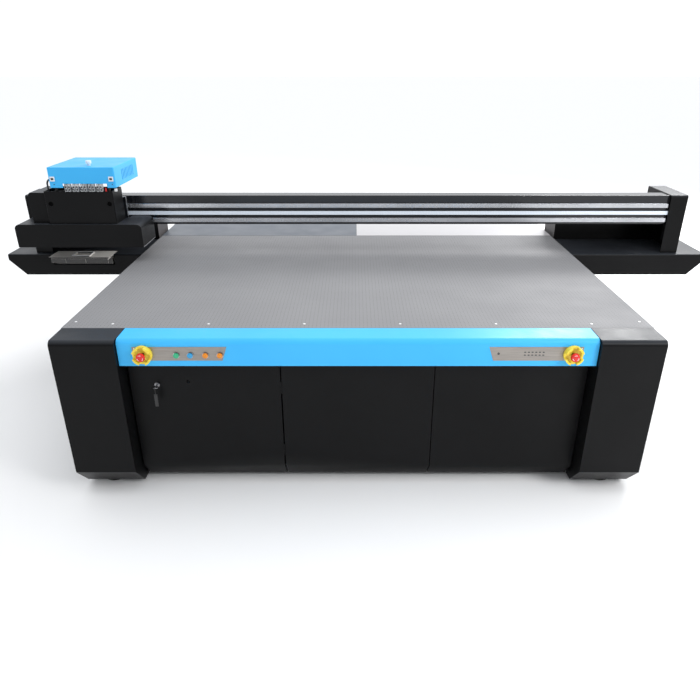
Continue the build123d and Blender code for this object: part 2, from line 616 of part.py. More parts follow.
# ================================================================ carriage
with BuildPart() as saddle_plate:
    # the plate on the X bearing blocks, its Z guide rails and the clamp round the belt
    block(CARRIAGE_X, SADDLE_Y, (981, 1165))
    block((-1740, -1440), SADDLE_Y, (1165, 1208))
    block((-1660, -1580), (250, SADDLE_Y[0]), (1200, 1208))
    rod("z", Z_SCREW, (1199, 1209), Z_SCREW_RADIUS - 3 + FIT, mode=Mode.SUBTRACT)
    for x in (-1770, -1470):
        block((x - 8, x + 8), (280, SADDLE_Y[0]), (985, 1160))
    block((-1650, -1590), (SADDLE_Y[1], 349.5 - GAP), (BELT_Z[0], BELT_Z[1] + GAP))
    block((-1650, -1590), (SADDLE_Y[1], 359), (BELT_Z[1] + GAP, BELT_Z[1] + 5))
    block((-1650, -1590), (352.5 + GAP, 359), (BELT_Z[0], BELT_Z[1] + GAP))
save(saddle_plate, "saddle_plate")

with BuildPart() as x_bearing_blocks:
    for x in (-1755, -1485):
        for z in X_RAIL_Z:
            block((x - 45, x + 45), (SADDLE_Y[1], BEAM_FRONT - 6), (z - 29, z + 29))
            y = (BEAM_FRONT - X_RAIL_DEPTH - GAP, BEAM_FRONT)
            block((x - 46, x + 46), y, (z - 12 - GAP, z + 12 + GAP), mode=Mode.SUBTRACT)
save(x_bearing_blocks, "x_bearing_blocks")

with BuildPart() as z_screw:
    rod("z", Z_SCREW, (1000, 1199), Z_SCREW_RADIUS)
    rod("z", Z_SCREW, (1199, 1222), Z_SCREW_RADIUS - 3)
save(z_screw, "z_screw")

with BuildPart() as z_motor:
    block((Z_SCREW[0] - 21, Z_SCREW[0] + 21), (Z_SCREW[1] - 21, Z_SCREW[1] + 20), (1208, 1258))
    rod("z", Z_SCREW, (1207, 1224), Z_SCREW_RADIUS - 3 + FIT, mode=Mode.SUBTRACT)
save(z_motor, "z_motor")

# ---------------------------------------------------------------- head, lifted on the carriage
with BuildPart() as head_housing:
    # sheet housing, open at the top and bottom, with two inspection holes
    block(CARRIAGE_X, (HOUSING_FRONT, HOUSING_REAR), HOUSING_Z)
    front_edges = head_housing.edges().filter_by(Axis.Z).group_by(Axis.Y)[0]
    fillet(front_edges, 6)
    inner_x = (CARRIAGE_X[0] + SHEET, CARRIAGE_X[1] - SHEET)
    inner_y = (HOUSING_FRONT + SHEET, HOUSING_REAR - SHEET)
    block(inner_x, inner_y, (HOUSING_Z[0] - 1, HOUSING_Z[1] + 1), mode=Mode.SUBTRACT)
    for x in (-1790, -1447):
        rod("y", (x, 1162), (HOUSING_FRONT - 1, HOUSING_FRONT + 5), 14, mode=Mode.SUBTRACT)
save(head_housing, "head_housing")

with BuildPart() as head_skirt:
    # wide low cover with rounded upper corners, notched round the saddle, open at the bottom
    block(SKIRT_X, SKIRT_Y, SKIRT_Z)
    corners = head_skirt.edges().filter_by(Axis.Y).group_by(Axis.Z)[-1]
    fillet(corners, 28)
    inner_z = (SKIRT_Z[0] - 1, SKIRT_Z[1] - SHEET)
    inner_x = (SKIRT_X[0] + SHEET, SKIRT_X[1] - SHEET)
    low_z = (inner_z[0], SKIRT_Z[1] - 28)
    inner_y = (SKIRT_Y[0] + SHEET, SKIRT_NOTCH - SHEET)
    block(inner_x, inner_y, low_z, mode=Mode.SUBTRACT)
    block((inner_x[0] + 25, inner_x[1] - 25), inner_y, inner_z, mode=Mode.SUBTRACT)
    notch = (SKIRT_NOTCH, SKIRT_Y[1] + 1)
    block((-1838, -1402), notch, (SKIRT_Z[0] - 1, SKIRT_Z[1] + 1), mode=Mode.SUBTRACT)
    for x in ((inner_x[0], -1841), (-1399, inner_x[1])):
        block(x, (inner_y[1] - 1, SKIRT_Y[1] - SHEET), low_z, mode=Mode.SUBTRACT)
    block((-1817, -1423), (100, 247), (1030, 1050), mode=Mode.SUBTRACT)
    block((-1926, -1821), (119, 251), (1030, 1050), mode=Mode.SUBTRACT)
save(head_skirt, "head_skirt")

with BuildPart() as uv_lamps:
    # curing lamp at each end: the left one stands up beside the housing
    block((-1925, -1823), (120, 250), (930, HOUSING_Z[1] - 12))
    chamfer(uv_lamps.edges().filter_by(Axis.Y).group_by(Axis.Z)[-1].sort_by(Axis.X)[0], 10)
    block((-1398, -1300), (120, 250), (930, 1010))
save(uv_lamps, "uv_lamps")

with BuildPart() as head_frame:
    # head plate, top deck, and the posts that carry the cover
    block((-1812, -1428), (85, SKIRT_NOTCH - 5), (926, 936))
    for column in range(5):
        x = -1760 + 70 * column
        block((x - 1, x + 61), (109, 231), (925, 937), mode=Mode.SUBTRACT)
    block((-1816, -1424), (101, 246), (1208, 1214))
    for x in (-1745, -1440):
        for y in (110, 236):
            block((x - 6, x + 6), (y - 6, y + 6), (1214, COVER_Z[1] - SHEET))
    for x in (-1800, -1440):
        for y in (104, 236):
            block((x - 5, x + 5), (y - 3, y + 3), (936, 1208))
save(head_frame, "head_frame")

with BuildPart() as print_heads:
    for column in range(5):
        x = -1760 + 70 * column
        block((x, x + 60), (110, 230), (912, 1010))
        block((x + 8, x + 52), (125, 215), (1010, 1040))
save(print_heads, "print_heads")

with BuildPart() as ink_dampers:
    for column in range(5):
        x = -1686 + 46 * column
        for offset in (0, 19):
            block((x + offset, x + offset + 14), (84, 106), (HOUSING_Z[1] + 0.5, DAMPER_TOP))
            rod("z", (x + offset + 7, 95), (DAMPER_TOP, DAMPER_TOP + 8), 3)
    block((-1694, -1470), (101, 107), (1214, 1240))
save(ink_dampers, "ink_dampers")

with BuildPart() as lift_bracket:
    # blocks on the Z guide rails and the lift nut, fixed to the back of the housing
    for x in (-1770, -1470):
        block((x - 22, x + 22), (HOUSING_REAR, 290), (1062, 1132))
        block((x - 8 - GAP, x + 8 + GAP), (280 - GAP, 291), (1061, 1133), mode=Mode.SUBTRACT)
    block((-1644, -1596), (HOUSING_REAR, 288), (1100, 1140))
    rod("z", Z_SCREW, (1099, 1141), Z_SCREW_RADIUS + FIT, mode=Mode.SUBTRACT)
save(lift_bracket, "lift_bracket")

with BuildPart() as carriage_cover:
    # coloured hood, open underneath, with a window over the dampers and vents in its side
    block(COVER_X, COVER_Y, COVER_Z)
    fillet(carriage_cover.edges().filter_by(Axis.Z), 10)
    fillet(carriage_cover.edges().group_by(Axis.Z)[-1], 5)
    inner_x = (COVER_X[0] + SHEET, COVER_X[1] - SHEET)
    inner_y = (COVER_Y[0] + SHEET, COVER_Y[1] - SHEET)
    block(inner_x, inner_y, (COVER_Z[0] - 1, COVER_Z[1] - SHEET), mode=Mode.SUBTRACT)
    block((-1690, -1434), (COVER_Y[0] - 1, COVER_Y[0] + 5), (COVER_Z[0] - 1, 1282), mode=Mode.SUBTRACT)
    for y in range(200, 400, 24):
        side = (COVER_X[1] - 5, COVER_X[1] + 1)
        block(side, (y, y + 8), (1285, 1345), mode=Mode.SUBTRACT)
    for x in LATCH_X:
        rod("y", (x, LATCH_Z), (COVER_Y[0] - 1, COVER_Y[0] + 5), 6.1, mode=Mode.SUBTRACT)
    # its lifting knob
    rod("z", KNOB, (COVER_Z[1], COVER_Z[1] + 14), 9)
    rod("z", KNOB, (COVER_Z[1] + 12, COVER_Z[1] + 27), 16)
save(carriage_cover, "carriage_cover")

for x, side in zip(LATCH_X, ("left", "right")):
    with BuildPart() as latch:
        # quarter turn latch: square escutcheon, spindle and tongue
        rod("y", (x, LATCH_Z), (COVER_Y[0] - 6, COVER_Y[0] + 12), 6)
        block((x - 13, x + 13), (COVER_Y[0] - 6, COVER_Y[0] - 0.5), (LATCH_Z - 13, LATCH_Z + 13))
        rod("y", (x, LATCH_Z), (COVER_Y[0] - 7, COVER_Y[0] - 3), 7, mode=Mode.SUBTRACT)
        block((x - 3, x + 3), (COVER_Y[0] + 9, COVER_Y[0] + 12), (LATCH_Z - 3, LATCH_Z + 15))
    save(latch, f"{side}_cover_latch")

with BuildPart() as lamp_conduit:
    # conduit from the deck up into the side of the cover
    route = [(-1803, 130, 1214), (-1803, 130, 1300), (COVER_X[0], 130, 1300)]
    with BuildLine() as path:
        FilletPolyline(*route, radius=30)
    with BuildSketch(Plane(route[0], x_dir=(1, 0, 0), z_dir=(0, 0, 1))):
        Circle(5)
    sweep()
save(lamp_conduit, "lamp_conduit")
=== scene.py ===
import json
import math

import bmesh
import bpy
from mathutils import Matrix, Vector


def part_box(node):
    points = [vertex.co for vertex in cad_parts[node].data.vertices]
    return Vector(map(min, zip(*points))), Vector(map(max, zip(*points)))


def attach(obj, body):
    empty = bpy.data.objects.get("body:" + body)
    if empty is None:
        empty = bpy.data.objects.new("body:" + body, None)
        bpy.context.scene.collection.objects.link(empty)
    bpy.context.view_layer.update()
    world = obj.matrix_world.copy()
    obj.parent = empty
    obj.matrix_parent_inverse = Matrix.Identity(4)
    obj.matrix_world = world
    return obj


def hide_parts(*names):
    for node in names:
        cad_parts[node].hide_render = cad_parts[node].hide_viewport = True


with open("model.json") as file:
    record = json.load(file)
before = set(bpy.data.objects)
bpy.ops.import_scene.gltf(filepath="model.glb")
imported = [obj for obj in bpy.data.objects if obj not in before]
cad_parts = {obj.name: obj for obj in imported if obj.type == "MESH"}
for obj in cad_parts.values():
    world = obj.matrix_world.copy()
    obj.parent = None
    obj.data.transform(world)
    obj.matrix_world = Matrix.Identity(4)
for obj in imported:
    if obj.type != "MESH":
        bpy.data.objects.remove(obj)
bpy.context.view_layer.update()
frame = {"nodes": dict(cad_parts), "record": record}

# ---------------------------------------------------------------- studio
# A pale floor and a pale room, bright overhead and behind the machine and dim behind the viewer.
# A strong window lamp stands behind on the right, a soft one on the front right and a weak one
# hangs above.  The camera stands before the machine and looks down on the table.
EYE = (-0.017, -3.563, 1.920)
LOOK_DOWN = math.radians(24.9)
FOCAL_LENGTH = 32.0
SIDE_SHIFT = -0.0057

camera_data = bpy.data.cameras.new("camera")
camera_data.lens = FOCAL_LENGTH
camera_data.sensor_width = 36.0
camera_data.shift_x = SIDE_SHIFT
camera_data.clip_end = 100
camera = bpy.data.objects.new("camera", camera_data)
camera.location = EYE
camera.rotation_euler = (math.radians(90) - LOOK_DOWN, 0, 0)
bpy.context.scene.collection.objects.link(camera)
bpy.context.scene.camera = camera
bpy.context.scene.view_settings.view_transform = "Standard"

BRIGHT_ROOM = (1.10, 1.12, 1.15)
DIM_ROOM = (0.42, 0.43, 0.45)

room = bpy.data.worlds.new("pale_room")
room.use_nodes = True
room_tree = room.node_tree
look = room_tree.nodes.new("ShaderNodeTexCoord").outputs["Generated"]
lift = room_tree.nodes.new("ShaderNodeVectorMath")
lift.operation = "DOT_PRODUCT"
lift.inputs[1].default_value = (0.0, 0.9, 1.0)
room_tree.links.new(look, lift.inputs[0])
fade = room_tree.nodes.new("ShaderNodeMapRange")
fade.inputs["From Min"].default_value = -0.55
fade.inputs["From Max"].default_value = 0.45
room_tree.links.new(lift.outputs["Value"], fade.inputs["Value"])
wall = room_tree.nodes.new("ShaderNodeMix")
wall.data_type = "RGBA"
wall.inputs["A"].default_value = (*DIM_ROOM, 1)
wall.inputs["B"].default_value = (*BRIGHT_ROOM, 1)
room_tree.links.new(fade.outputs["Result"], wall.inputs["Factor"])
room_tree.links.new(wall.outputs["Result"], room_tree.nodes["Background"].inputs["Color"])
bpy.context.scene.world = room


def soft_lamp(name, place, aim, size, watts):
    """One softbox: an area lamp at a place, turned to face a point."""
    lamp_data = bpy.data.lights.new(name, "AREA")
    lamp_data.shape = "RECTANGLE"
    lamp_data.size, lamp_data.size_y = size
    lamp_data.energy = watts
    lamp = bpy.data.objects.new(name, lamp_data)
    lamp.location = place
    lamp.rotation_euler = (Vector(aim) - Vector(place)).to_track_quat("-Z", "Y").to_euler()
    bpy.context.scene.collection.objects.link(lamp)


soft_lamp("overhead_lamp", (0.5, -0.8, 4.6), (0, -0.3, 0.8), (5.0, 3.0), 20)
soft_lamp("window_lamp", (4.2, 5.2, 4.2), (0.5, -0.8, 0.8), (3.6, 1.2), 360)
soft_lamp("front_right_lamp", (3.4, -3.4, 3.2), (0.6, -0.4, 0.8), (1.6, 1.6), 95)


def new_material(name):
    """An empty node material: its tree, its shader, and the Object coordinates in metres."""
    material = bpy.data.materials.new(name)
    material.use_nodes = True
    tree = material.node_tree
    place = tree.nodes.new("ShaderNodeTexCoord").outputs["Object"]
    return material, tree, tree.nodes["Principled BSDF"], place


def noise_of(tree, place, scale, stretch=(1, 1, 1), detail=3.0):
    """A noise pattern of so many grains to the metre, stretched along the axes."""
    mapping = tree.nodes.new("ShaderNodeMapping")
    mapping.inputs["Scale"].default_value = stretch
    tree.links.new(place, mapping.inputs["Vector"])
    noise = tree.nodes.new("ShaderNodeTexNoise")
    noise.inputs["Scale"].default_value = scale
    noise.inputs["Detail"].default_value = detail
    tree.links.new(mapping.outputs["Vector"], noise.inputs["Vector"])
    return noise.outputs["Fac"]


NOISE_LOW, NOISE_HIGH = 0.3, 0.7


def between(tree, factor, low, high):
    """Spreads a noise pattern between two values."""
    spread = tree.nodes.new("ShaderNodeMapRange")
    spread.inputs["From Min"].default_value = NOISE_LOW
    spread.inputs["From Max"].default_value = NOISE_HIGH
    spread.inputs["To Min"].default_value = low
    spread.inputs["To Max"].default_value = high
    tree.links.new(factor, spread.inputs["Value"])
    return spread.outputs["Result"]


def two_colours(tree, factor, first, second):
    """Mixes two colours by a pattern."""
    mix = tree.nodes.new("ShaderNodeMix")
    mix.data_type = "RGBA"
    mix.inputs["A"].default_value = (*first, 1)
    mix.inputs["B"].default_value = (*second, 1)
    tree.links.new(factor, mix.inputs["Factor"])
    return mix.outputs["Result"]


def bump_from(tree, shader, height, depth):
    """Raises the surface by a pattern, so many metres deep."""
    bump = tree.nodes.new("ShaderNodeBump")
    bump.inputs["Distance"].default_value = depth
    bump.inputs["Strength"].default_value = 1.0
    tree.links.new(height, bump.inputs["Height"])
    tree.links.new(bump.outputs["Normal"], shader.inputs["Normal"])


def coated(name, colour, worn, rough, grain=700, depth=0.0001, metal=0.0, stretch=(1, 1, 1), gloss=0.5):
    """A painted, plated or moulded surface: cloudy colour, uneven gloss and a fine grain."""
    material, tree, shader, place = new_material(name)
    clouds = noise_of(tree, place, 2.5)
    cloudy = two_colours(tree, between(tree, clouds, 0, 1), colour, worn)
    tree.links.new(cloudy, shader.inputs["Base Color"])
    smears = noise_of(tree, place, 9, stretch)
    tree.links.new(between(tree, smears, rough * 0.85, rough * 1.15), shader.inputs["Roughness"])
    bump_from(tree, shader, noise_of(tree, place, grain, stretch), depth)
    shader.inputs["Metallic"].default_value = metal
    shader.inputs["Specular IOR Level"].default_value = gloss
    return material


floor_mesh = bpy.data.meshes.new("floor")
floor_shape = bmesh.new()
bmesh.ops.create_grid(floor_shape, x_segments=1, y_segments=1, size=90)
floor_shape.to_mesh(floor_mesh)
floor_shape.free()
floor = bpy.data.objects.new("floor", floor_mesh)
bpy.context.scene.collection.objects.link(floor)
pale_floor = coated("pale_floor", (0.97, 0.97, 0.97), (0.96, 0.96, 0.96), 0.8, grain=60, gloss=0.1)
floor_mesh.materials.append(pale_floor)


# ---------------------------------------------------------------- hidden steelwork of the base
# Welded square tube, painted black, on six levelling feet with rubber soles.  The long rails are
# ground steel on machined side beams, and the ball screws run beside them.
nodes = frame["nodes"]


def dress(names, material):
    """Gives CAD nodes their finish."""
    for name in names:
        for slot in nodes[name].material_slots:
            slot.material = material


frame_paint = coated("frame_paint", (0.012, 0.012, 0.013), (0.018, 0.018, 0.019), 0.45, grain=300,
                     gloss=0.25)
bare_steel = coated("ground_steel", (0.62, 0.63, 0.66), (0.42, 0.43, 0.45), 0.26, grain=60, depth=0.00002,
                    metal=0.75, stretch=(0.05, 1, 1))
milled = coated("milled_aluminium", (0.62, 0.63, 0.65), (0.52, 0.53, 0.55), 0.35, grain=400, depth=0.00004,
                metal=1.0, stretch=(1, 0.05, 1))
foot_rubber = coated("foot_rubber", (0.015, 0.015, 0.015), (0.03, 0.03, 0.03), 0.8, grain=500)
motor_paint = coated("motor_paint", (0.010, 0.010, 0.012), (0.016, 0.016, 0.016), 0.38, grain=900,
                     gloss=0.3)

dress(["base_frame", "frame_side_rails", "beam_brackets", "head_frame"], frame_paint)
dress(["y_rails", "left_y_screw", "right_y_screw", "z_screw"], bare_steel)
dress(["y_bearing_blocks", "x_bearing_blocks"], bare_steel)
dress(["y_rail_beams", "lift_bracket", "idler_pulley", "drive_pulley"], milled)
dress(["levelling_feet"], foot_rubber)
dress(["y_motors", "x_motor", "z_motor", "print_heads"], motor_paint)


# ---------------------------------------------------------------- blower, cabinet and ink tanks
# A cast side-channel blower, a zinc-plated electrics cabinet and milky polythene ink tanks, all
# hidden behind the covers.
zinc = coated("zinc_plate", (0.48, 0.50, 0.50), (0.40, 0.42, 0.43), 0.4, grain=40, depth=0.00003, metal=1.0)
cast = coated("cast_aluminium", (0.50, 0.51, 0.52), (0.40, 0.41, 0.42), 0.55, grain=260, depth=0.0003,
              metal=0.9)
polythene = coated("milky_polythene", (0.72, 0.73, 0.70), (0.66, 0.66, 0.62), 0.5, grain=200)
dress(["control_cabinet"], zinc)
dress(["vacuum_blower"], cast)
dress(["ink_tanks"], polythene)


# ---------------------------------------------------------------- vacuum table
# A light grey anodised sheet, drilled all over with fine suction holes on a square pitch, lies on
# a plain aluminium vacuum box.  White caps close its fixing screws along the front edge.
HOLE_PITCH = 0.018
HOLE_RADIUS = 0.0016


def drilled_sheet():
    """Matt anodising with a dimple at each crossing of the pitch, painted dark inside as painted shade."""
    material, tree, shader, place = new_material("drilled_anodised_sheet")
    snap = tree.nodes.new("ShaderNodeVectorMath")
    snap.operation = "SNAP"
    snap.inputs[1].default_value = (HOLE_PITCH, HOLE_PITCH, 1)
    tree.links.new(place, snap.inputs[0])
    offset = tree.nodes.new("ShaderNodeVectorMath")
    offset.operation = "SUBTRACT"
    tree.links.new(place, offset.inputs[0])
    tree.links.new(snap.outputs[0], offset.inputs[1])
    centred = tree.nodes.new("ShaderNodeVectorMath")
    centred.operation = "SUBTRACT"
    centred.inputs[1].default_value = (HOLE_PITCH / 2, HOLE_PITCH / 2, 0)
    tree.links.new(offset.outputs[0], centred.inputs[0])
    flat = tree.nodes.new("ShaderNodeVectorMath")
    flat.operation = "MULTIPLY"
    flat.inputs[1].default_value = (1, 1, 0)
    tree.links.new(centred.outputs[0], flat.inputs[0])
    distance = tree.nodes.new("ShaderNodeVectorMath")
    distance.operation = "LENGTH"
    tree.links.new(flat.outputs[0], distance.inputs[0])
    rim = tree.nodes.new("ShaderNodeMapRange")
    rim.inputs["From Min"].default_value = HOLE_RADIUS * 0.8
    rim.inputs["From Max"].default_value = HOLE_RADIUS * 1.1
    tree.links.new(distance.outputs["Value"], rim.inputs["Value"])
    clouds = noise_of(tree, place, 1.2)
    sheet_colour = two_colours(tree, between(tree, clouds, 0, 1), (0.265, 0.265, 0.272),
                               (0.235, 0.235, 0.242))
    # Painted shade: each suction hole is painted near black.
    hole_painted_shade = tree.nodes.new("ShaderNodeMix")
    hole_painted_shade.data_type = "RGBA"
    hole_painted_shade.inputs["A"].default_value = (0.02, 0.02, 0.02, 1)
    tree.links.new(rim.outputs["Result"], hole_painted_shade.inputs["Factor"])
    tree.links.new(sheet_colour, hole_painted_shade.inputs["B"])
    tree.links.new(hole_painted_shade.outputs["Result"], shader.inputs["Base Color"])
    smears = noise_of(tree, place, 5)
    tree.links.new(between(tree, smears, 0.55, 0.65), shader.inputs["Roughness"])
    bump_from(tree, shader, rim.outputs["Result"], 0.0006)
    shader.inputs["Specular IOR Level"].default_value = 0.12
    return material


dress(["table_top"], drilled_sheet())
dress(["table_core"], milled)

SCREW_PITCH = 0.442
SCREW_COUNT = 6
FIRST_SCREW_X = -1.130
SCREW_INSET = 0.047
END_SCREW_X = 1.310
END_SCREW_INSET = 0.072
CAP_RADIUS = 0.0058
CAP_HEIGHT = 0.0016
table_low, table_high = (Vector(corner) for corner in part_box("table_top"))


def new_piece(name, shape, body, material, smooth=True):
    """Turns a finished bmesh into a piece that rides on a body."""
    mesh = bpy.data.meshes.new(name)
    bmesh.ops.recalc_face_normals(shape, faces=shape.faces)
    shape.to_mesh(mesh)
    shape.free()
    if smooth:
        mesh.shade_smooth()
        mesh.set_sharp_from_angle(angle=math.radians(38))
    mesh.materials.append(material)
    piece = bpy.data.objects.new(name, mesh)
    bpy.context.scene.collection.objects.link(piece)
    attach(piece, body)
    return piece


def add_block(shape, low, high, bevel=0.0005):
    """Adds a block between two corners, with its edges eased."""
    low, high = Vector(low), Vector(high)
    size = Matrix.Diagonal((*(high - low), 1))
    made = bmesh.ops.create_cube(shape, size=1, matrix=Matrix.Translation((low + high) / 2) @ size)
    if bevel:
        edges = {edge for vert in made["verts"] for edge in vert.link_edges}
        bmesh.ops.bevel(shape, geom=list(edges), offset=bevel, segments=2, profile=0.5, affect="EDGES",
                        material=-1, clamp_overlap=True)


TURN_TO = {"x": Matrix.Rotation(math.radians(90), 4, "Y"), "y": Matrix.Rotation(math.radians(90), 4, "X"),
           "z": Matrix.Identity(4)}


def add_rod(shape, centre, radius, length, axis="z", sides=24, bevel=0.0004, top=None):
    """Adds a round bar about its centre, along an axis, with its rims eased."""
    made = bmesh.ops.create_cone(shape, cap_ends=True, segments=sides, radius1=radius,
                                 radius2=radius if top is None else top, depth=length,
                                 matrix=Matrix.Translation(centre) @ TURN_TO[axis])
    if bevel:
        rims = {edge for vert in made["verts"] for edge in vert.link_edges
                if any(len(face.verts) > 4 for face in edge.link_faces)}
        bmesh.ops.bevel(shape, geom=list(rims), offset=bevel, segments=2, profile=0.5, affect="EDGES",
                        material=-1, clamp_overlap=True)


white_cap = coated("white_cap", (0.85, 0.86, 0.87), (0.78, 0.79, 0.80), 0.35, grain=400)
cap_places = [(FIRST_SCREW_X + SCREW_PITCH * number, SCREW_INSET) for number in range(SCREW_COUNT)]
cap_places += [(-END_SCREW_X, END_SCREW_INSET), (END_SCREW_X, END_SCREW_INSET)]
caps = bmesh.new()
for x, inset in cap_places:
    add_rod(caps, (x, table_low.y + inset, table_high.z + CAP_HEIGHT / 2), CAP_RADIUS, CAP_HEIGHT, sides=16)
new_piece("table_screw_caps", caps, "base", white_cap)


# ---------------------------------------------------------------- rear covers of the table
# Two smooth painted sheets behind the drilled table, the left one painted blue grey and the right one
# nearly white as painted reflection.  They meet in a fine seam on the middle line.
def rear_sheet():
    """One paint for both sheets, which changes its tone at the seam as a painted reflection."""
    material, tree, shader, place = new_material("rear_sheets_painted_reflection")
    split = tree.nodes.new("ShaderNodeSeparateXYZ")
    tree.links.new(place, split.inputs[0])
    side = tree.nodes.new("ShaderNodeMath")
    side.operation = "GREATER_THAN"
    side.inputs[1].default_value = 0.0
    tree.links.new(split.outputs["X"], side.inputs[0])
    # Painted reflection: dark blue grey left of the seam, near white right of it.
    painted_reflection_tone = two_colours(tree, side.outputs[0], (0.085, 0.10, 0.125), (0.54, 0.53, 0.54))
    tree.links.new(painted_reflection_tone, shader.inputs["Base Color"])
    smears = noise_of(tree, place, 6)
    tree.links.new(between(tree, smears, 0.30, 0.40), shader.inputs["Roughness"])
    bump_from(tree, shader, noise_of(tree, place, 30), 0.00005)
    return material


dress(["rear_covers"], rear_sheet())


# ---------------------------------------------------------------- black sheet covers
# Leg covers, panels, wings and end covers are folded 3 mm sheet in a fine textured black powder
# coat.  Every fold and cut edge is eased, so it carries a thin line of light.
body_of_node = {n: b for b, names in frame["record"]["behaviour"]["bodies"].items() for n in names}


def eased(node, width, material):
    """A copy of a CAD piece with its edges rounded; it stands for the plain one."""
    shape = bmesh.new()
    shape.from_mesh(nodes[node].data)
    bmesh.ops.remove_doubles(shape, verts=shape.verts, dist=0.00002)
    bmesh.ops.join_triangles(shape, faces=shape.faces, angle_face_threshold=math.radians(1),
                             angle_shape_threshold=math.radians(180))
    folds = [e for e in shape.edges if len(e.link_faces) == 2 and e.calc_face_angle() > math.radians(40)]
    bmesh.ops.bevel(shape, geom=folds, offset=width, segments=2, profile=0.5, affect="EDGES",
                    material=-1, clamp_overlap=True, loop_slide=False)
    mesh = bpy.data.meshes.new(node + "_eased")
    shape.to_mesh(mesh)
    shape.free()
    mesh.shade_smooth()
    mesh.set_sharp_from_angle(angle=math.radians(50))
    mesh.materials.append(material)
    piece = bpy.data.objects.new(node + "_finished", mesh)
    bpy.context.scene.collection.objects.link(piece)
    weighted = piece.modifiers.new("weighted", "WEIGHTED_NORMAL")
    weighted.keep_sharp = True
    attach(piece, body_of_node[node])
    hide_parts(node)
    return piece


def black_coat_with_painted_sheen():
    """Fine textured black powder coat; upward faces are lightened in patches towards blue grey as a painted
    sheen.
    """
    material, tree, shader, place = new_material("black_powder_coat")
    facing = tree.nodes.new("ShaderNodeNewGeometry").outputs["Normal"]
    split = tree.nodes.new("ShaderNodeSeparateXYZ")
    tree.links.new(facing, split.inputs[0])
    upward = tree.nodes.new("ShaderNodeMapRange")
    upward.inputs["From Min"].default_value = 0.35
    upward.inputs["From Max"].default_value = 0.95
    tree.links.new(split.outputs["Z"], upward.inputs["Value"])
    painted_sheen_patches = tree.nodes.new("ShaderNodeMath")
    painted_sheen_patches.operation = "MULTIPLY"
    tree.links.new(upward.outputs["Result"], painted_sheen_patches.inputs[0])
    tree.links.new(between(tree, noise_of(tree, place, 3.5), 0.75, 1.0), painted_sheen_patches.inputs[1])
    clouds = noise_of(tree, place, 2.5)
    paint = two_colours(tree, between(tree, clouds, 0, 1), (0.0038, 0.0038, 0.0041),
                        (0.0054, 0.0054, 0.0058))
    # Painted sheen: faces turned upwards are lightened towards blue grey, as the bright room above would
    # light them.
    painted_top_sheen = tree.nodes.new("ShaderNodeMix")
    painted_top_sheen.data_type = "RGBA"
    painted_top_sheen.inputs["B"].default_value = (0.034, 0.038, 0.045, 1)
    tree.links.new(painted_sheen_patches.outputs[0], painted_top_sheen.inputs["Factor"])
    tree.links.new(paint, painted_top_sheen.inputs["A"])
    tree.links.new(painted_top_sheen.outputs["Result"], shader.inputs["Base Color"])
    smears = noise_of(tree, place, 9)
    tree.links.new(between(tree, smears, 0.31, 0.41), shader.inputs["Roughness"])
    bump_from(tree, shader, noise_of(tree, place, 900), 0.0001)
    shader.inputs["Specular IOR Level"].default_value = 0.12
    return material


FOLD_EASE = 0.0014
CUT_EASE = 0.0006
black_coat = black_coat_with_painted_sheen()
for node in ("leg_covers", "left_wing", "right_wing", "gantry_covers", "uv_lamps"):
    eased(node, FOLD_EASE, black_coat)
for node in ("front_door", "front_panels", "base_panels"):
    eased(node, CUT_EASE, black_coat)


# ---------------------------------------------------------------- gantry end frames
# The side frames of the gantry are black coated sheet, with their flat sides painted a lighter, warmer
# brown grey as painted reflection.  A narrow black angle covers the joint beside the rear housing at each
# end.
def second_finish(piece, material, takes_it):
    """Gives another finish to those faces whose middle and direction pass a rule."""
    piece.data.materials.append(material)
    for face in piece.data.polygons:
        if takes_it(face.center, face.normal):
            face.material_index = 1


ANGLE_X = (1.9554, 1.967)
ANGLE_Y = (0.6772, 0.690)
ANGLE_Z = (0.801, 1.050)
angles = bmesh.new()
for side in (-1, 1):
    ends = sorted(side * x for x in ANGLE_X)
    add_block(angles, (ends[0], ANGLE_Y[0], ANGLE_Z[0]), (ends[1], ANGLE_Y[1], ANGLE_Z[1]))
new_piece("housing_joint_angles", angles, "gantry", black_coat)
side_plate_painted_reflection = coated("side_plate_painted_reflection", (0.11, 0.10, 0.10), (0.085, 0.08, 0.08), 0.4, grain=300,
                          gloss=0.2)
end_frames = eased("gantry_frames", 0.001, black_coat)
# Faces turned across the machine take the lighter brown grey: a painted reflection on the black sheet.
second_finish(end_frames, side_plate_painted_reflection, lambda centre, normal: abs(normal.x) > 0.5)


# ---------------------------------------------------------------- control strip
# The sky-blue folded sheet along the front edge, between the two leg covers, in a semi-gloss
# powder coat.
BLUE = (0.058, 0.48, 0.92)
BLUE_DEEP = (0.050, 0.45, 0.89)
blue_coat = coated("sky_blue_coat", BLUE, BLUE_DEEP, 0.40, grain=900, depth=0.00006, gloss=0.25)
eased("control_strip", 0.0010, blue_coat)


# ---------------------------------------------------------------- control plates
# Thin metal plates, brushed lengthways and tinted brown grey, held to the strip by bright
# screws.  The right one carries a round light and two rows of small status lights.
def brushed(name, colour, shade, rough, stretch, metal):
    """Sheet metal with fine hairlines along one axis."""
    material, tree, shader, place = new_material(name)
    hairlines = noise_of(tree, place, 900, stretch, detail=6)
    streaks = two_colours(tree, between(tree, hairlines, 0, 1), colour, shade)
    tree.links.new(streaks, shader.inputs["Base Color"])
    tree.links.new(between(tree, hairlines, rough * 0.8, rough * 1.25), shader.inputs["Roughness"])
    bump_from(tree, shader, hairlines, 0.00005)
    shader.inputs["Metallic"].default_value = metal
    return material


plate_metal = brushed("brushed_brown_plate", (0.36, 0.33, 0.30), (0.26, 0.24, 0.22), 0.42, (0.01, 1, 1),
                      metal=0.7)
eased("control_plates", 0.0003, plate_metal)

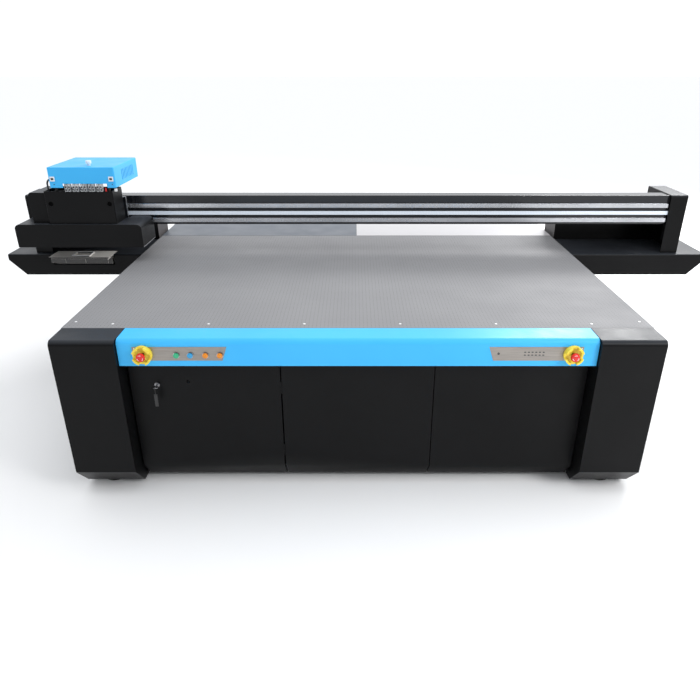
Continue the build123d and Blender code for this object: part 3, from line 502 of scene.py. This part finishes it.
LIGHT_ROWS = (0.762, 0.748)
LIGHT_COLUMNS = 6
FIRST_LIGHT_X = 0.734
LIGHT_PITCH = 0.0162
HALF_LIGHT = (0.0042, 0.0022)
ROUND_LIGHT = (0.618, 0.755)
STAND_OUT = 0.0012
PLATE_SCREW_X = 0.980
PLATE_SCREW_Z = (0.729, 0.779)
plate_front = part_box("control_plates")[0][1]
dark_lens = coated("dark_lens", (0.05, 0.055, 0.06), (0.08, 0.08, 0.085), 0.2, grain=300)
lights = bmesh.new()
for column in range(LIGHT_COLUMNS):
    for height in LIGHT_ROWS:
        x = FIRST_LIGHT_X + LIGHT_PITCH * column
        add_block(lights, (x - HALF_LIGHT[0], plate_front - STAND_OUT, height - HALF_LIGHT[1]),
                  (x + HALF_LIGHT[0], plate_front, height + HALF_LIGHT[1]))
add_rod(lights, (ROUND_LIGHT[0], plate_front - STAND_OUT / 2, ROUND_LIGHT[1]), 0.0055, STAND_OUT, "y")
new_piece("status_lights", lights, "base", dark_lens)
bright_metal = coated("bright_metal", (0.78, 0.79, 0.80), (0.70, 0.71, 0.72), 0.16, grain=300,
                      depth=0.00001, metal=1.0)
screws = bmesh.new()
for x in (PLATE_SCREW_X, -PLATE_SCREW_X):
    for z in PLATE_SCREW_Z:
        add_rod(screws, (x, plate_front - STAND_OUT / 2, z), 0.0032, STAND_OUT, "y", sides=20)
new_piece("plate_screws", screws, "base", bright_metal)


# ---------------------------------------------------------------- push buttons
# Four push buttons on the plates: satin chrome bezels and stepped, moulded lenses in green, blue
# and orange, on a round plastic body.
bezel_metal = coated("satin_chrome", (0.50, 0.51, 0.52), (0.42, 0.43, 0.44), 0.28, grain=300,
                     depth=0.00001, metal=1.0)
dress(["button_bezels"], bezel_metal)
BUTTON_RADIUS = 0.0101
LENS_RADIUS = 0.0126
STEP_RADIUS = LENS_RADIUS * 0.72
LENS_COLOURS = {
    "green_button": ((0.03, 0.42, 0.20), (0.06, 0.50, 0.26)),
    "blue_button": ((0.03, 0.32, 0.62), (0.06, 0.40, 0.70)),
    "left_orange_button": ((0.75, 0.24, 0.01), (0.82, 0.30, 0.02)),
    "right_orange_button": ((0.75, 0.24, 0.01), (0.82, 0.30, 0.02)),
}
for node, (deep, pale) in LENS_COLOURS.items():
    low, high = (Vector(corner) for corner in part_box(node))
    middle = (low + high) / 2
    lens = bmesh.new()
    add_rod(lens, middle, BUTTON_RADIUS, high.y - low.y - 0.0002, "y", sides=40, bevel=0.001)
    add_rod(lens, (middle.x, low.y - 0.0012, middle.z), LENS_RADIUS, 0.0020, "y", sides=48, bevel=0.0007)
    add_rod(lens, (middle.x, low.y - 0.0026, middle.z), STEP_RADIUS, 0.0016, "y", sides=40, bevel=0.0007)
    piece = new_piece(node + "_lens", lens, node, coated(node + "_plastic", deep, pale, 0.18, grain=80))
    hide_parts(node)


# ---------------------------------------------------------------- emergency stops
# A yellow notched plastic collar round a red moulded mushroom head on a black stem.  Twelve grips
# run round the head, and three pale arrows on its face show the way to twist it.
yellow = coated("yellow_plastic", (0.88, 0.70, 0.06), (0.82, 0.64, 0.05), 0.38, grain=500)
red = coated("red_plastic", (0.72, 0.02, 0.015), (0.62, 0.015, 0.012), 0.28, grain=500, depth=0.00004)
HEAD_RADIUS = 0.0198
HEAD_DEPTH = 0.0150
GRIP_COUNT = 12
GRIP_RING = 0.0165
ARROW_RING = 0.0125
ARROW_STEPS = 5
ARROW_STEP_ANGLE = 11
eased("estop_guards", 0.0012, yellow)
for side in ("left", "right"):
    node = side + "_estop_head"
    low, high = (Vector(corner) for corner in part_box(node))
    middle = (low + high) / 2
    head = bmesh.new()
    add_rod(head, (middle.x, low.y + 0.0078, middle.z), HEAD_RADIUS, HEAD_DEPTH, "y", sides=56,
            bevel=0.0055)
    grip_middle = Matrix.Translation((middle.x, low.y + 0.012, middle.z))
    grip = bmesh.ops.create_circle(head, segments=GRIP_COUNT, radius=GRIP_RING,
                                   matrix=grip_middle @ TURN_TO["y"])
    for vert in list(grip["verts"]):
        add_rod(head, vert.co, 0.0036, 0.006, "y", sides=10, bevel=0.0008)
    bmesh.ops.delete(head, geom=grip["verts"], context="VERTS")
    piece = new_piece(node + "_mushroom", head, node, red)
    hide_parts(node)
    arrows = bmesh.new()
    face_middle = Matrix.Translation((middle.x, low.y + 0.0002, middle.z))
    for third in range(3):
        for step in range(ARROW_STEPS):
            swing = Matrix.Rotation(math.radians(120 * third + ARROW_STEP_ANGLE * step), 4, "Y")
            width = 0.0036 if step == ARROW_STEPS - 1 else 0.0016
            dash = Matrix.Translation((ARROW_RING, 0, 0)) @ Matrix.Diagonal((width, 0.0004, 0.0025, 1))
            bmesh.ops.create_cube(arrows, size=1, matrix=face_middle @ swing @ dash)
    new_piece(side + "_estop_arrows", arrows, node, white_cap, smooth=False)
black_plastic = coated("black_plastic", (0.018, 0.018, 0.018), (0.028, 0.028, 0.028), 0.45, grain=600)
dress(["left_estop_stem", "right_estop_stem"], black_plastic)


# ---------------------------------------------------------------- door lock
# Nickel-plated cam lock with its key standing in it.  A black plastic tag hangs by its strap in
# front of the key's bow.
nickel = coated("worn_nickel", (0.34, 0.34, 0.35), (0.26, 0.26, 0.27), 0.35, grain=300, depth=0.00002,
                metal=1.0)
dress(["lock_barrel", "lock_key"], nickel)
BOW_HEIGHT = 0.566
STRAP_END = -0.030
TAG_FOOT = -0.092
key_low, key_high = (Vector(corner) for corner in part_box("lock_key"))
bow = Vector(((key_low.x + key_high.x) / 2, key_low.y, BOW_HEIGHT))
tag = bmesh.new()
add_block(tag, bow + Vector((-0.001, -0.0024, STRAP_END)), bow + Vector((0.001, -0.0004, 0.002)), 0.0004)
add_block(tag, bow + Vector((-0.008, -0.0036, TAG_FOOT)),
          bow + Vector((0.008, -0.0004, STRAP_END + 0.002)), 0.0014)
new_piece("key_tag", tag, "door", black_plastic)


# ---------------------------------------------------------------- beam and rails
# A black anodised extrusion with two ground steel rails screwed to its face.  A cap closes the
# counterbore of each rail screw.
black_anodised = coated("black_anodised", (0.007, 0.008, 0.011), (0.010, 0.011, 0.014), 0.18, grain=200,
                        depth=0.000002, stretch=(0.02, 1, 1), gloss=0.5)
eased("gantry_beam", 0.0010, black_anodised)
eased("x_rails", 0.0012, bare_steel)
rail_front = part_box("x_rails")[0][1]
rail_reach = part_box("x_rails")[1][0]
BORE_PITCH = 0.080
RAIL_HEIGHTS = (1.010, 1.100)
rail_caps = bmesh.new()
for height in RAIL_HEIGHTS:
    for number in range(int(2 * rail_reach / BORE_PITCH)):
        x = -rail_reach + 0.04 + BORE_PITCH * number
        add_rod(rail_caps, (x, rail_front + 0.0008, height), 0.0040, 0.0020, "y", sides=14, bevel=0)
new_piece("rail_screw_caps", rail_caps, "gantry", cast)


# ---------------------------------------------------------------- drive belt
# A pale toothed belt that runs between the two rails, over a pulley at each end of the beam, and
# draws the carriage along.
def belt_rubber():
    """Ribbed polyurethane; the ribs stand across the belt, and the grooves between them are painted darker
    as painted shade.
    """
    material, tree, shader, place = new_material("pale_belt")
    ribs_and_painted_shade = tree.nodes.new("ShaderNodeTexWave")
    ribs_and_painted_shade.bands_direction = "X"
    ribs_and_painted_shade.inputs["Scale"].default_value = 31.4
    tree.links.new(place, ribs_and_painted_shade.inputs["Vector"])
    # Painted shade: the colour darkens in the grooves between the ribs.
    tree.links.new(two_colours(tree, ribs_and_painted_shade.outputs["Fac"], (0.76, 0.85, 0.95), (0.86, 0.93, 1.0)),
                   shader.inputs["Base Color"])
    grime = noise_of(tree, place, 30)
    tree.links.new(between(tree, grime, 0.3, 0.45), shader.inputs["Roughness"])
    bump_from(tree, shader, ribs_and_painted_shade.outputs["Fac"], 0.0002)
    return material


dress(["drive_belt"], belt_rubber())


# ---------------------------------------------------------------- capping tray
# A folded stainless tray that stands out from the left wing under the parked print heads.  A
# white plastic capping frame lies in it.  Its top is painted near white as painted reflection, and
# its front flange is painted dark as painted shade.
# Painted reflection: the tray's top is painted near white.
tray_painted_reflection = brushed("brushed_tray_painted_reflection", (0.92, 0.88, 0.83), (0.78, 0.75, 0.70), 0.5, (0.02, 1, 1),
                    metal=0.05)
flange_painted_shade = brushed("dull_flange_painted_shade", (0.07, 0.068, 0.066), (0.045, 0.044, 0.043), 0.45,
                       (0.02, 1, 1), metal=0.3)
tray = eased("capping_tray", CUT_EASE, tray_painted_reflection)
# Painted shade: the forward-facing flange takes a dark copy of the tray's steel.
second_finish(tray, flange_painted_shade, lambda centre, normal: normal.y < -0.5)
CAP_X = (-1.804, -1.689)
CAP_Y = (0.252, 0.345)
CAP_Z = (0.803, 0.807)
RIM = 0.006
capping = bmesh.new()
for y in (CAP_Y[0], CAP_Y[1] - RIM):
    add_block(capping, (CAP_X[0], y, CAP_Z[0]), (CAP_X[1], y + RIM, CAP_Z[1]), 0.0012)
for x in (CAP_X[0], CAP_X[1] - RIM):
    add_block(capping, (x, CAP_Y[0], CAP_Z[0]), (x + RIM, CAP_Y[1], CAP_Z[1]), 0.0012)
new_piece("capping_frame", capping, "gantry", white_cap)


# ---------------------------------------------------------------- carriage saddle
# The milled aluminium plate behind the head, which rides on the rails.  Its faces are anodised
# black, and its bare edges show as a bright line.
saddle = eased("saddle_plate", 0.0008, milled)
second_finish(saddle, black_anodised, lambda centre, normal: abs(normal.y) > 0.5)


# ---------------------------------------------------------------- print head housing and skirt
# Black coated sheet housing over a wide skirt that shields the curing light.  Rubber plugs close
# two round holes in its front, and a bright strip trims the right lower edge of the skirt.
HOUSING_EASE = 0.0010
HOLE_X = (-1.790, -1.447)
HOLE_HEIGHT = 1.162
PLUG_RADIUS = 0.0137
eased("head_housing", HOUSING_EASE, black_coat)
eased("head_skirt", FOLD_EASE, black_coat)
plugs = bmesh.new()
housing_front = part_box("head_housing")[0][1]
for x in HOLE_X:
    add_rod(plugs, (x, housing_front + 0.0022, HOLE_HEIGHT), PLUG_RADIUS, 0.0025, "y", sides=32)
    add_rod(plugs, (x, housing_front + 0.0008, HOLE_HEIGHT), 0.0060, 0.0020, "y", sides=24)
plug_rubber = coated("plug_rubber", (0.0010, 0.0010, 0.0010), (0.0018, 0.0018, 0.0018), 0.85, grain=500,
                     gloss=0.05)
new_piece("housing_plugs", plugs, "head", plug_rubber)
skirt_low, skirt_high = (Vector(corner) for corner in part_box("head_skirt"))
trim = bmesh.new()
add_block(trim, (skirt_high.x - 0.0028, skirt_low.y + 0.004, skirt_low.z - 0.0002),
          (skirt_high.x + 0.0004, skirt_high.y - 0.010, skirt_low.z + 0.0035), 0.0004)
new_piece("skirt_edge_trim", trim, "head", milled)


# ---------------------------------------------------------------- ink dampers
# Five pairs of clear moulded dampers stand on the housing, with dark ink behind their windows and
# a white fitting on each.  Beside them are a rest for the hood and the heater's red plug.
def clear_moulding():
    """Clear plastic with a faint haze; pale patches in its colour are painted highlights."""
    material, tree, shader, place = new_material("clear_damper")
    haze_and_painted_glints = noise_of(tree, place, 120)
    # Painted highlights: the colour is spread between pale and darker patches by the haze pattern.
    tree.links.new(two_colours(tree, between(tree, haze_and_painted_glints, 0, 1), (0.88, 0.90, 0.90), (0.55, 0.57, 0.60)),
                   shader.inputs["Base Color"])
    tree.links.new(between(tree, haze_and_painted_glints, 0.08, 0.22), shader.inputs["Roughness"])
    shader.inputs["Transmission Weight"].default_value = 0.55
    shader.inputs["IOR"].default_value = 1.49
    return material


dress(["ink_dampers"], clear_moulding())
DAMPER_FIRST = -1.686
DAMPER_PAIRS = 5
DAMPER_PITCH = 0.046
DAMPER_WIDTH = 0.014
PAIR_GAP = 0.019
WINDOW_INSET = 0.003
WINDOW_FOOTS = (1.241, 1.256)
WINDOW_HEIGHT = 0.010
FITTING_HEIGHT = 1.283
damper_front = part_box("ink_dampers")[0][1]
damper_x = [DAMPER_FIRST + DAMPER_PITCH * pair + gap
            for pair in range(DAMPER_PAIRS) for gap in (0, PAIR_GAP)]
windows = bmesh.new()
fittings = bmesh.new()
for x in damper_x:
    for foot in WINDOW_FOOTS:
        add_block(windows, (x + WINDOW_INSET, damper_front - 0.0006, foot),
                  (x + DAMPER_WIDTH - WINDOW_INSET, damper_front + 0.001, foot + WINDOW_HEIGHT), 0.0004)
    add_rod(fittings, (x + DAMPER_WIDTH / 2, damper_front + 0.011, FITTING_HEIGHT), 0.0046, 0.010, sides=12)
new_piece("damper_ink_windows", windows, "head", motor_paint)
new_piece("damper_fittings", fittings, "head", white_cap)
clip = bmesh.new()
add_block(clip, (-1.402, 0.088, 1.236), (-1.388, 0.100, 1.252), 0.001)
new_piece("hood_rest_clip", clip, "head", white_cap)
wire = bmesh.new()
add_rod(wire, (-1.452, 0.094, 1.246), 0.005, 0.020, sides=12)
new_piece("heater_wire_plug", wire, "head", red)


# ---------------------------------------------------------------- blue hood
# The folded sheet hood over the head, in the same blue coat, with a white lifting knob on top.
# Two white quarter-turn latches with black slots and two black screws hold it at the front.
HOOD_TOP = 1.3735
LATCH_HEIGHT = 1.309
HALF_SLOT = (0.008, 0.005)
HOOD_SCREW_X = (-1.738, -1.404)
HOOD_SCREW_HEIGHT = 1.278
hood = eased("carriage_cover", HOUSING_EASE, blue_coat)
hood_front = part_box("carriage_cover")[0][1]
second_finish(hood, white_cap, lambda centre, normal: centre.z > HOOD_TOP)
for node in ("left_cover_latch", "right_cover_latch"):
    eased(node, CUT_EASE, white_cap)
    low, high = (Vector(corner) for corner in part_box(node))
    latch_x = (low.x + high.x) / 2
    slot_plate = bmesh.new()
    add_block(slot_plate, (latch_x - HALF_SLOT[0], low.y - 0.0004, LATCH_HEIGHT - HALF_SLOT[1]),
              (latch_x + HALF_SLOT[0], low.y + 0.002, LATCH_HEIGHT + HALF_SLOT[1]))
    new_piece(node + "_slot", slot_plate, node, black_plastic)
dots = bmesh.new()
for x in HOOD_SCREW_X:
    add_rod(dots, (x, hood_front - 0.0006, HOOD_SCREW_HEIGHT), 0.003, 0.0012, "y", sides=16)
new_piece("hood_screws", dots, "head", black_plastic)
dress(["lamp_conduit"], black_plastic)
